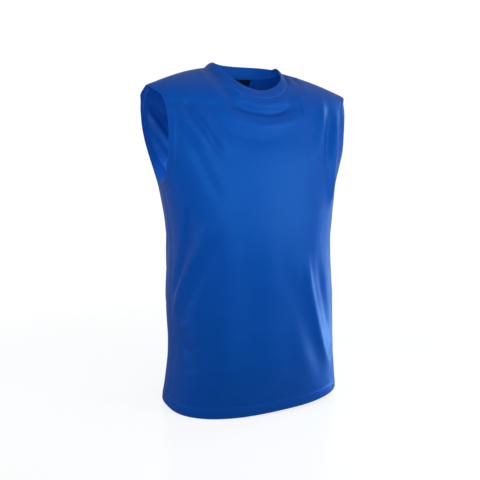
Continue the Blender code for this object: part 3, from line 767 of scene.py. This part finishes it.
BLUE = (0.0030, 0.0720, 0.4050, 1.0)
PALE = (0.0100, 0.1200, 0.5000, 1.0)
NAVY = (0.0035, 0.0055, 0.0170, 1.0)
NAVY_PALE = (0.0100, 0.0140, 0.0350, 1.0)
THREAD = (0.010, 0.100, 0.480, 1.0)
body_cloth = cloth_material("jersey", BLUE, PALE, 0.40, 0.05, 0.0011, 0.35)
band_cloth = cloth_material("band_jersey", BLUE, PALE, 0.42, 0.05, 0.0011, 0.35, turn=np.pi / 2)
thread = cloth_material("sewing_thread", THREAD, PALE, 0.45, 0.15, 0.0006, 0.30)
label_cloth = cloth_material("label_weave", NAVY, NAVY_PALE, 0.62, 0.15, 0.0005, 0.40, streak=0.10)

# ---------------- the panels
f, b = panel_walls(FRONT), panel_walls(BACK)
front = wall_mesh("front_panel_cloth", f["outer"], f["inner"], body_cloth, f["edge"])
rear = wall_mesh("back_panel_cloth", b["outer"], b["inner"], body_cloth, b["edge"], flip=True)


# ---------------- neckband
BAND_LINE, BAND_LINE_WIDTH = 0.25, 0.0015  # the edge of a band shows this strongly, against a seam
BAND_RIPPLE, BAND_RIPPLE_REACH = 0.00022, 0.007
BAND_SWELL, BAND_SWELL_AT, BAND_SWELL_WIDTH = 0.00022, 0.003, 0.002
BAND_FACES = 0.004  # over this width the band turns from the panels' slope to its own
# Behind the right end the band stands up, and at the left end it is lower. The limits are shares of the way from an
# end to the middle.
STRETCH, STRETCH_FROM, STRETCH_TO, STRETCH_FADE = 0.0038, 0.3, 0.98, 0.3
SLACK = 0.0042


def band_row(points, facing, dip, from_seam, from_edge):
    """A row of a band's outer side and its inner side, and how strongly its seam and edge show there."""
    inset = rounded(from_edge)
    outer = points - facing * (dip + inset)
    inner = outer - facing * np.maximum(DOUBLE - 2 * inset, THINNEST)
    return outer, inner, (bell(from_seam, SEAM_LINE_WIDTH) + BAND_LINE * bell(from_edge, BAND_LINE_WIDTH))[:, 0]


def neckband_walls():
    """The neckband, on the seam as the panels leave it, leaning in more in front than behind."""
    seam = loop_between(f["outer"][-1, NECK], b["outer"][-1, NECK])
    seam_normals = unit(loop_between(f["normals"][-1, NECK], b["normals"][-1, NECK]))
    is_back = np.arange(len(seam)) >= len(f["outer"][-1, NECK])
    inward = np.stack([-seam[:, 0], NECK_CENTRE_Y - seam[:, 1], np.zeros(len(seam))], axis=-1)
    middle = np.sqrt(1 - np.clip(np.abs(seam[:, 0]) / NECK_HALF_WIDTH, 0, 1) ** 2)
    centre_lean = np.where(is_back, NECKBAND_LEAN_BACK, NECKBAND_LEAN_FRONT)
    lean = np.radians(NECKBAND_LEAN_SIDE + (centre_lean - NECKBAND_LEAN_SIDE) * middle)[:, None]
    rise = np.cos(lean) * np.array([0.0, 0.0, 1.0]) + np.sin(lean) * unit(inward)
    width = (NECKBAND_SIDE_WIDTH + (NECKBAND_WIDTH - NECKBAND_SIDE_WIDTH) * middle)[:, None]
    stretched = (smooth((middle - STRETCH_FROM) / STRETCH_FADE) * smooth((STRETCH_TO - middle) / STRETCH_FADE)
                 * (is_back & (seam[:, 0] < 0)))
    slack = (1 - middle) ** 2 * (seam[:, 0] > 0)
    width = width + (STRETCH * stretched - SLACK * slack)[:, None]
    along = unit(np.roll(seam, -1, axis=0) - np.roll(seam, 1, axis=0))
    off_panel = unit(np.cross(seam_normals, along))
    off_panel *= np.sign(np.sum(off_panel * rise, axis=-1, keepdims=True))
    face = unit(np.cross(along, rise))
    face *= np.sign(np.sum(face * seam_normals, axis=-1, keepdims=True))
    run = arc(np.concatenate([seam, seam[:1]]))[:-1]
    total = run[-1] + np.linalg.norm(seam[0] - seam[-1])
    first = seam + off_panel * SEAM_GAP
    rows = []
    shares = spaced(NECKBAND_WIDTH, NECKBAND_ROWS, first=BAND_SEAM_GAPS, last=TURNED_EDGE_GAPS) / NECKBAND_WIDTH
    ripple = waves(run, 71) * np.sin(np.pi * run / total) ** 0.5
    for share in shares:
        from_seam = width * share
        dip = SEAM_DIP * bell(from_seam, SEAM_DIP_WIDTH)
        dip = dip - BAND_SWELL * bell(from_seam - BAND_SWELL_AT, BAND_SWELL_WIDTH)
        dip = dip - BAND_RIPPLE * ripple[:, None] * np.exp(-from_seam / BAND_RIPPLE_REACH)
        blend = smooth(from_seam / BAND_FACES)
        facing = unit(seam_normals * (1 - blend) + face * blend)
        centre = first + rise * from_seam + face * NECKBAND_CROWN * np.sin(np.pi * share)
        rows.append(band_row(centre, facing, dip, from_seam, width * (1 - share)))
    return map(np.array, zip(*rows))


outer, inner, edge = neckband_walls()
neckband = wall_mesh("neckband_cloth", outer, inner, band_cloth, edge, loop=True)


# ---------------- armhole bands
ARMHOLE_SAMPLES = 900
CLOSER_AT_TOP = 2.5  # the power by which the samples draw together towards the shoulder
ARMHOLE_CROWN = 0.0003
BESIDE_ARMHOLE, BESIDE_ARMHOLE_REACH = 0.00025, 0.006  # its ripples


def armhole_band_walls(side, seed):
    """An armhole band. It lies in the cloth's own surface, between the panels' edge and the opening."""
    t = 1 - (1 - np.linspace(0, 1, ARMHOLE_SAMPLES)) ** CLOSER_AT_TOP
    from_seams = spaced(ARMHOLE_BAND_WIDTH, ARMHOLE_BAND_ROWS, first=BAND_SEAM_GAPS, last=TURNED_EDGE_GAPS)
    first = SEAM_GAP / ARMHOLE_BAND_WIDTH
    rows = []
    for share in from_seams / ARMHOLE_BAND_WIDTH:
        across = first + (1 - first) * share
        halves = []
        for back in (FRONT, BACK):
            seam_angle, seam_level = armhole_edge(t, back, BAND_CUT, ARMHOLE_BAND_WIDTH)
            open_angle, open_level = armhole_edge(t, back, 0, 0)
            angle = side * (seam_angle + (open_angle - seam_angle) * across)
            level = seam_level + (open_level - seam_level) * across
            run = arc(body_points(angle, level, back))
            at = spaced(run[-1], BAND_ROWS_AROUND, first=BAND_BOTTOM_GAPS, last=BAND_TOP_GAPS)
            place = np.interp(at, run, angle), np.interp(at, run, level), back
            normals = surface_normals(*place)
            points = body_points(*place) + normals * (fold_relief(*place) + crease_relief(*place))[..., None]
            points[1:-1, 1] += SEAM_GAP / 2 if back else -SEAM_GAP / 2
            halves.append((points, normals))
        points, normals = (np.concatenate([fore, aft[-2:0:-1]]) for fore, aft in zip(*halves))
        width = np.full((len(points), 1), ARMHOLE_BAND_WIDTH)
        from_seam = width * share
        ripple = waves(arc(points), seed)[:, None] * np.exp(-from_seam / BESIDE_ARMHOLE_REACH)
        dip = SEAM_DIP * bell(from_seam, SEAM_DIP_WIDTH) - ARMHOLE_CROWN * np.sin(np.pi * share)
        dip = dip - BESIDE_ARMHOLE * ripple
        rows.append(band_row(points, unit(normals), dip, from_seam, width * (1 - share)))
    return map(np.array, zip(*rows))


for side_name, side in (("right", -1), ("left", 1)):
    outer, inner, edge = armhole_band_walls(side, 80 + side)
    wall_mesh(f"armhole_band_{side_name}_cloth", outer, inner, band_cloth, edge,
                                 loop=True, flip=side < 0)


# ---------------- label
LABEL_LOOK_FROM = -0.02  # y, in front of the back of the neck
LABEL_TOP = -0.0085
LABEL_DEEP = 0.0262
LABEL_SIDES = (-0.0150, 0.0443)
LABEL_THICKNESS, LABEL_STAND_OFF = 0.0005, 0.0003
LABEL_CURL, LABEL_WAVE, LABEL_WAVE_LENGTH, LABEL_WAVE_START = 0.0008, 0.0003, 0.03 / 7, 1.3
LABEL_RIM = 0.001


def skin_tree(*grids):
    """A search tree over open grids of points."""
    points, faces = [], []
    for grid in grids:
        rows, columns = grid.shape[:2]
        index = np.arange(rows * columns).reshape(rows, columns) + len(points)
        points.extend(map(Vector, grid.reshape(-1, 3)))
        quads = np.stack([index[:-1, :-1], index[:-1, 1:], index[1:, 1:], index[1:, :-1]], axis=-1)
        faces.extend(quads.reshape(-1, 4).tolist())
    return BVHTree.FromPolygons(points, faces)


def label_walls():
    """The label, on the inside of the back panel that lies behind it."""
    skin = skin_tree(b["inner"])
    downs = spaced(LABEL_DEEP, LABEL_ROWS, first=LABEL_EDGE_GAPS, last=LABEL_EDGE_GAPS)[::-1]
    overs = spaced(LABEL_SIDES[1] - LABEL_SIDES[0], LABEL_COLUMNS, first=LABEL_EDGE_GAPS, last=LABEL_EDGE_GAPS)
    outer, inner = np.empty((2, len(downs), len(overs), 3))
    edge = np.empty((len(downs), len(overs)))
    for row, down in enumerate(downs):
        share = down / LABEL_DEEP
        for column, over in enumerate(overs):
            x = LABEL_SIDES[0] + over
            place, normal, _, _ = skin.ray_cast(Vector((x, LABEL_LOOK_FROM, LABEL_TOP - down)), Vector((0, 1, 0)))
            normal = -np.array(normal) if normal.y > 0 else np.array(normal)
            curl = LABEL_CURL * share**2 + LABEL_WAVE * np.sin(x / LABEL_WAVE_LENGTH + LABEL_WAVE_START) * share
            outer[row, column] = np.array(place) + normal * (LABEL_STAND_OFF + curl)
            inner[row, column] = outer[row, column] + normal * LABEL_THICKNESS
            edge[row, column] = np.exp(-min(over, overs[-1] - over, down + LABEL_RIM) / LABEL_RIM)
    return outer, inner, edge


outer, inner, edge = label_walls()
label = wall_mesh("neck_label_cloth", outer, inner, label_cloth, edge, flip=True)

# ---------------- seams inside: overlocked edges pressed to one side
both_inner = skin_tree(f["inner"], b["inner"])
both_outer = skin_tree(f["outer"], b["outer"])
BACKWARD = np.array([0.0, 1.0, 0.0])
BODY_MIDDLE = np.array([0.0, -0.04, -0.50])  # seen from an armhole's edge, the cloth lies this way and the opening not
SEAM_FOOT = 0.0012  # the side seams are closed after the hem is turned, and run down to this height above its edge
OVERLOCK_STEP = 0.0026
OVERLOCK_START = -0.0012  # it begins on the far side of the gap between the pieces, and closes it
OVERLOCK_SHARES = np.array([0.0, 0.08, 0.25, 0.5, 0.75, 0.92, 1.0])
OVERLOCK_TALL, OVERLOCK_STAND_OFF, OVERLOCK_THINNEST = 0.0009, 0.00008, 0.00004
OVERLOCK_WIDTH, NECK_OVERLOCK_WIDTH, OVERLOCK_LINE = 0.0065, 0.0055, 0.25
THREAD_WAVE, THREAD_WAVE_LENGTH, THREAD_WAVE_FROM = 0.05, 0.0007, 0.9


def off_armhole(line):
    """Directions away from an armhole, at points along its edge."""
    return BODY_MIDDLE - line


def off_neck(line):
    """Directions away from the neck opening and down, at points along its edge."""
    return line * np.array([1.0, 1.0, 0.0]) - np.array([0.0, NECK_CENTRE_Y, 0.08])


def oriented(tree, point, away):
    """(the nearest place on a skin, the normal there that points away)."""
    place, normal, _, _ = tree.find_nearest(Vector(point))
    normal = np.array(normal)
    return np.array(place), -normal if normal @ away < 0 else normal


def frame_along(line, normals, towards):
    """Sideways directions along a line, square to it and to the normals, on the side of towards."""
    across = unit(np.cross(unit(np.gradient(line, axis=0)), normals))
    return across * np.sign(np.sum(across * towards, axis=-1, keepdims=True))


def overlock(name, line, normals, towards, width=OVERLOCK_WIDTH):
    """A narrow strip along a seam on the inside, thicker in its middle, with an edge that waves with the thread."""
    run = arc(line)
    at = np.linspace(0, run[-1], max(int(run[-1] / OVERLOCK_STEP), 4))
    path, side, out = (at_distances(at, run, v) for v in (line, frame_along(line, normals, towards), normals))
    lower, upper = np.empty((2, len(OVERLOCK_SHARES), len(at), 3))
    for row, share in enumerate(OVERLOCK_SHARES):
        tall = OVERLOCK_TALL * np.sqrt(max(1 - (2 * share - 1) ** 4, 0.02))
        for k, point in enumerate(path):
            wave = 1 + THREAD_WAVE * np.sin(at[k] / THREAD_WAVE_LENGTH) * (share > THREAD_WAVE_FROM)
            reach = OVERLOCK_START + (width - OVERLOCK_START) * share * wave
            place, normal = point + side[k] * reach, -out[k]
            if reach > 0:
                place, normal = oriented(both_inner, place, normal)
            lower[row, k] = place + normal * OVERLOCK_STAND_OFF
            upper[row, k] = place + normal * (OVERLOCK_STAND_OFF + OVERLOCK_THINNEST + tall)
    edge = np.tile(bell(OVERLOCK_SHARES - 1, OVERLOCK_LINE)[:, None], (1, len(at)))
    return wall_mesh(name, upper, lower, thread, edge, sharp=80)


def there_and_back(cut):
    """(points, normals) on the inside along an edge of the front panel, and back along that of the back panel."""
    return [np.concatenate([f[what][cut], b[what][cut][::-1]]) for what in ("inner", "normals")]


seam_pieces = []
for side_name, column, shoulder in (("right", 0, slice(1, CORNER)), ("left", -1, slice(-CORNER, -1))):
    rows = np.flatnonzero(b["from_hem"][: UNDERARM_ROW + 1, column] > SEAM_FOOT)
    line, out = there_and_back(np.s_[UNDERARM_ROW:, column])
    seam_pieces += [
        overlock(f"side_seam_{side_name}", b["inner"][rows, column], b["normals"][rows, column], BACKWARD),
        overlock(f"armhole_seam_{side_name}", line, out, off_armhole(line)),
        overlock(f"shoulder_seam_{side_name}", b["inner"][-1, shoulder], b["normals"][-1, shoulder], BACKWARD),
    ]
line, out = there_and_back((-1, NECK))
seam_pieces.append(overlock("neck_seam", line, out, off_neck(line), width=NECK_OVERLOCK_WIDTH))

# ---------------- stitches
STITCH, STITCH_PITCH, STITCH_WIDTH = 0.0023, 0.0031, 0.00050
STITCH_SINK, STITCH_END_SINK = 0.00008, 0.00012
STITCH_BULGE, STITCH_FLATNESS, STITCH_TAPER = 0.16, 0.8, 0.86
STITCH_RINGS, STITCH_SIDES = 5, 6
STITCH_SEAM = 0.6
BESIDE_SEAM, BESIDE_STEP = 0.0026, 0.0015


def stitch_mesh(name, rows):
    """Short threads that lie along rows of sewing, each sinking at both ends. rows are (points, normals) lines."""
    points, faces = [], []
    for line, normals in rows:
        run = arc(line)
        for at in np.arange(STITCH_PITCH / 2, run[-1] - STITCH_PITCH / 2, STITCH_PITCH):
            middle, ahead, behind = (at_distances(at + d, run, line) for d in (0, STITCH / 2, -STITCH / 2))
            out = unit(at_distances(at, run, normals))
            along = unit(ahead - behind)
            across = np.cross(out, along)
            base = len(points)
            for s in np.arange(STITCH_RINGS) / (STITCH_RINGS - 1) * 2 - 1:
                fat = STITCH_WIDTH / 2 * np.sqrt(1 - STITCH_TAPER * s**4)
                lift = STITCH_WIDTH * STITCH_BULGE * (1 - s**2) - STITCH_SINK - STITCH_END_SINK * s**4
                centre = middle + along * s * STITCH / 2 + out * lift
                for turn in 2 * np.pi * np.arange(STITCH_SIDES) / STITCH_SIDES:
                    points.append(centre + across * fat * np.cos(turn) + out * fat * STITCH_FLATNESS * np.sin(turn))
            around = np.arange(STITCH_SIDES)
            ring = base + around
            onward = base + (around + 1) % STITCH_SIDES
            for up in STITCH_SIDES * np.arange(STITCH_RINGS - 1):
                a, c = ring + up, onward + up
                faces.extend(np.stack([a, c, c + STITCH_SIDES, a + STITCH_SIDES], axis=-1).tolist())
            faces += [ring[::-1].tolist(), (ring + STITCH_SIDES * (STITCH_RINGS - 1)).tolist()]
    uv = np.array(points)[:, [0, 2]]
    return add_mesh(name, points, faces, thread, uv, np.full(len(points), STITCH_SEAM))


def row_on_column(panel, distance):
    """The line across a panel at a distance up its columns from the hem, on the outer skin."""
    line, normals = [], []
    for column in range(panel["outer"].shape[1]):
        run = arc(panel["outer"][:, column])
        line.append(at_distances(distance, run, panel["outer"][:, column]))
        normals.append(at_distances(distance, run, panel["normals"][:, column]))
    return np.array(line), unit(np.array(normals))


def rows_beside(cut, off):
    """Lines on the outer skin beside this edge of each panel. off gives the directions to its side."""
    rows = []
    for panel in (f, b):
        line, normals = panel["outer"][cut], panel["normals"][cut]
        run = arc(line)
        at = np.arange(0, run[-1], BESIDE_STEP)
        path, out, way = (at_distances(at, run, v) for v in (line, normals, off(line)))
        side = frame_along(path, out, way)
        found = [oriented(both_outer, p + s * BESIDE_SEAM, o) for p, s, o in zip(path, side, out)]
        rows.append(np.array(found).transpose(1, 0, 2))
    return rows


stitch_pieces = [stitch_mesh(f"hem_stitches_{side_name}", [row_on_column(panel, d) for d in HEM_STITCH_ROWS])
                 for side_name, panel in (("front", f), ("back", b))]
for side_name, column in (("right", 0), ("left", -1)):
    stitch_pieces.append(stitch_mesh(f"armhole_stitches_{side_name}",
                                     rows_beside(np.s_[UNDERARM_ROW:, column], off_armhole)))
stitch_pieces.append(stitch_mesh("neck_stitches", rows_beside((-1, slice(CORNER + 2, -CORNER - 2)), off_neck)))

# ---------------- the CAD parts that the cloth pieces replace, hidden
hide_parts("front_panel")
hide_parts("back_panel")
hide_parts("neckband")
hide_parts("armhole_band_right")
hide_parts("armhole_band_left")
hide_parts("neck_label")

# ---------------- camera at the photo's angle
CAMERA_AZIMUTH = np.radians(-25.9583)
CAMERA_DISTANCE = 1.4772
CAMERA_HEIGHT = -0.1883
CAMERA_PITCH = np.radians(-7.0587)
CAMERA_ROLL = np.radians(0.7145)
FOCAL_LENGTH = 655.0589  # in pixels of the photo
PHOTO_WIDTH = 480
SENSOR_WIDTH = 36.0
camera_data = bpy.data.cameras.new("camera")
camera_data.sensor_width = SENSOR_WIDTH
camera_data.lens = FOCAL_LENGTH / PHOTO_WIDTH * SENSOR_WIDTH
camera = in_scene("camera", camera_data)
camera.matrix_world = (
    Matrix.Rotation(CAMERA_AZIMUTH, 4, "Z") @ Matrix.Translation((0, -CAMERA_DISTANCE, CAMERA_HEIGHT))
    @ Matrix.Rotation(np.pi / 2 + CAMERA_PITCH, 4, "X") @ Matrix.Rotation(CAMERA_ROLL, 4, "Z")
)
bpy.context.scene.camera = camera

# ---------------- floor and light
FLOOR_REACH = 3.0
FLOOR_GAP = 0.0005
FLOOR_GLOW = 0.79  # added where the camera looks, so that the floor is white but its light stays off the cloth
FLOOR_BOUNCE = 0.25  # what a white floor throws back up at the cloth
FLOOR_FADE = (0.95, 1.70)  # from the middle, where the floor begins to go over into the background and ends
WORLD_STRENGTH = 0.36
WORLD_SEEN = 1.05
WORLD_MIRRORED = 0.42
floor_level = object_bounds()[0].z - FLOOR_GAP
floor_mesh = bpy.data.meshes.new("floor")
floor_mesh.from_pydata([(x * FLOOR_REACH, y * FLOOR_REACH, floor_level)
                        for x, y in ((-1, -1), (1, -1), (1, 1), (-1, 1))], [], [(0, 1, 2, 3)])
floor = in_scene("floor", floor_mesh)
floor_material = bpy.data.materials.new("floor")
floor_material.use_nodes = True
tree = floor_material.node_tree
shader = tree.nodes["Principled BSDF"]
rays = tree.nodes.new("ShaderNodeLightPath").outputs
bounce = calculate(tree, "MULTIPLY", rays["Is Diffuse Ray"], FLOOR_BOUNCE)
glow = calculate(tree, "MULTIPLY_ADD", rays["Is Camera Ray"], FLOOR_GLOW, bounce)
feed(tree, shader, {"Base Color": (0.25, 0.25, 0.25, 1.0), "Roughness": 0.18, "IOR": 1.33,
                    "Emission Color": WHITE, "Emission Strength": glow})
away = node(tree, "VectorMath", "Value", {0: node(tree, "TexCoord", "Object", {})}, operation="LENGTH")
fade = node(tree, "MapRange", "Result", {"Value": away, "From Min": FLOOR_FADE[0], "From Max": FLOOR_FADE[1]},
            interpolation_type="SMOOTHSTEP")
clear = node(tree, "BsdfTransparent", 0, {})
feed(tree, tree.nodes["Material Output"],
     {"Surface": node(tree, "MixShader", 0, {0: fade, 1: shader.outputs[0], 2: clear})})
floor_mesh.materials.append(floor_material)

world = bpy.data.worlds.new("studio")
bpy.context.scene.world = world
world.use_nodes = True
tree = world.node_tree
background = tree.nodes["Background"]
feed(tree, background, {"Strength": WORLD_STRENGTH, "Color": WHITE})
rays = tree.nodes.new("ShaderNodeLightPath").outputs
mirrored = calculate(tree, "MULTIPLY", rays["Is Glossy Ray"], WORLD_MIRRORED)
strength = calculate(tree, "MULTIPLY_ADD", rays["Is Camera Ray"], WORLD_SEEN, mirrored)
seen = node(tree, "Background", 0, {"Color": WHITE, "Strength": strength})
direct = calculate(tree, "MAXIMUM", rays["Is Camera Ray"], rays["Is Glossy Ray"])
feed(tree, tree.nodes["World Output"],
     {"Surface": node(tree, "MixShader", 0, {0: direct, 1: background.outputs[0], 2: seen})})

# softbox name, place, aim, size, power
SOFTBOXES = (
    ("chest", (-0.15, -0.62, -0.11), (0.0, -0.10, -0.14), (0.40, 0.22), 1.20),
    ("chest_left", (0.55, -0.85, -0.05), (0.08, -0.08, -0.20), (0.3, 0.5), 3.7),
    ("hem_left", (0.52, -0.18, -0.67), (0.17, -0.08, -0.68), (0.24, 0.12), 1.25),
    ("left_front", (1.5, -0.9, 0.0), (0.1, -0.05, -0.3), (0.5, 1.6), 1.0),
    ("left_edge", (1.25, 0.12, -0.60), (0.2, -0.05, -0.50), (0.25, 0.45), 3.3),
    ("left_shoulder", (1.20, 0.06, 0.32), (0.2, -0.05, -0.12), (0.25, 0.3), 3.0),
    ("right_side", (-1.6, 0.15, -0.1), (-0.2, 0.0, -0.3), (0.5, 1.6), 4.3),
    ("right_armhole", (-1.35, -0.35, 0.25), (-0.16, 0.06, -0.10), (0.3, 0.3), 3.6),
    ("inside", (-0.09, -0.03, -0.27), (-0.17, 0.07, -0.13), (0.12, 0.16), 0.28),
)
COOL = (0.35, 0.70, 1.0)
COOL_LIGHTS = ("hem_left", "left_edge", "left_shoulder", "right_side")
for name, at, aim, size, power in SOFTBOXES:
    data = bpy.data.lights.new(name, "AREA")
    data.shape = "RECTANGLE"
    data.size, data.size_y = size
    data.energy = power
    light = in_scene(name, data)
    light.location = at
    light.rotation_euler = (Vector(aim) - Vector(at)).to_track_quat("-Z", "Y").to_euler()
    if name in COOL_LIGHTS:
        data.color = COOL
    light.visible_camera = False
bpy.context.scene.view_settings.view_transform = "Standard"
